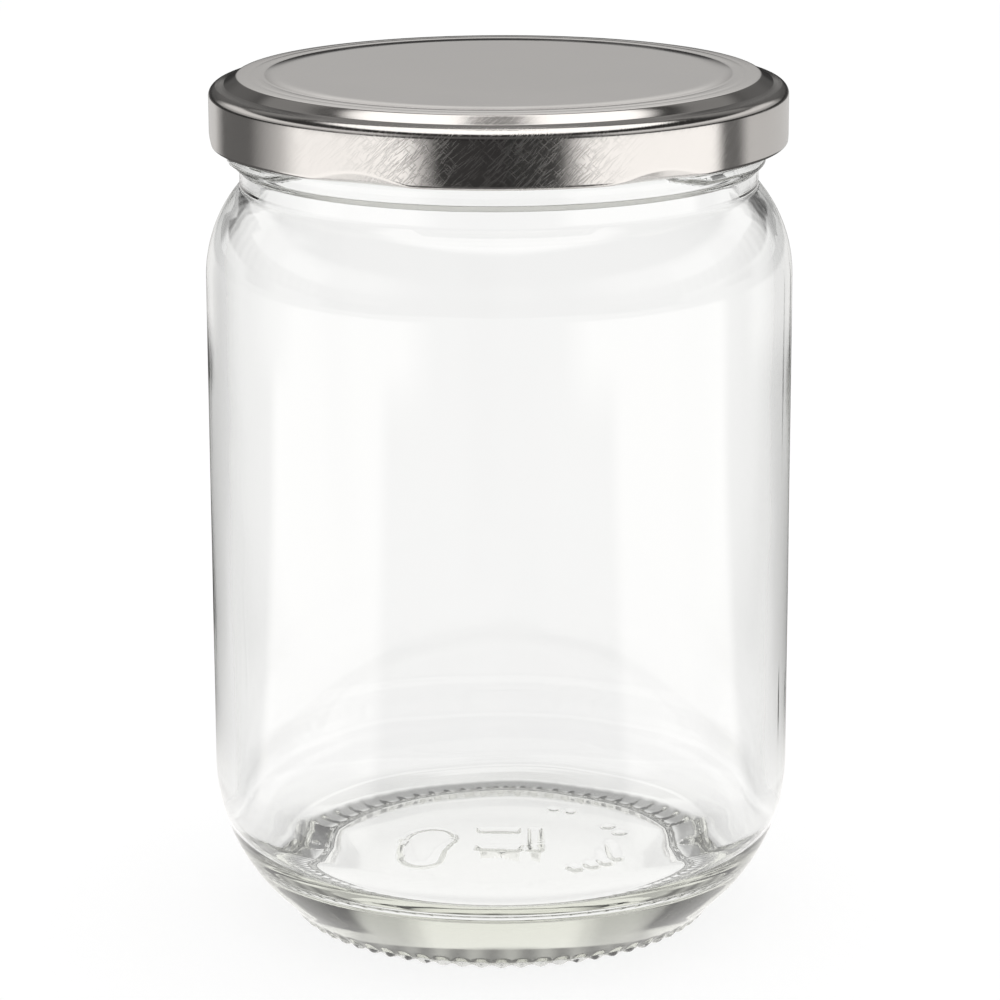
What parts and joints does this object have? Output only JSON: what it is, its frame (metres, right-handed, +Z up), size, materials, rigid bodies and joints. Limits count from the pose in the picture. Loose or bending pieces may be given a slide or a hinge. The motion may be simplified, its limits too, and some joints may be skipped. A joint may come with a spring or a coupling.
{
  "type": "twist-off glass jar with lid",
  "caption": "Empty clear glass preserving jar with a rounded shoulder, a knurled foot and a plain tinplate twist-off lid screwed on.",
  "frame": {"origin": "middle of the circle that the jar stands on, at floor level", "axes": "+Z up along the jar's axis, towards the lid; -Y towards the front"},
  "size_m": [0.0878, 0.0878, 0.1293],
  "materials": {
    "glass": "clear flint glass, polished by the mould, faintly green where it is thick",
    "tinplate": "bare silver tinplate with a clear lacquer and fine random scratches"
  },
  "bodies": {
    "root": {"jar": "glass", "lid": "tinplate"}
  },
  "joints": []
}
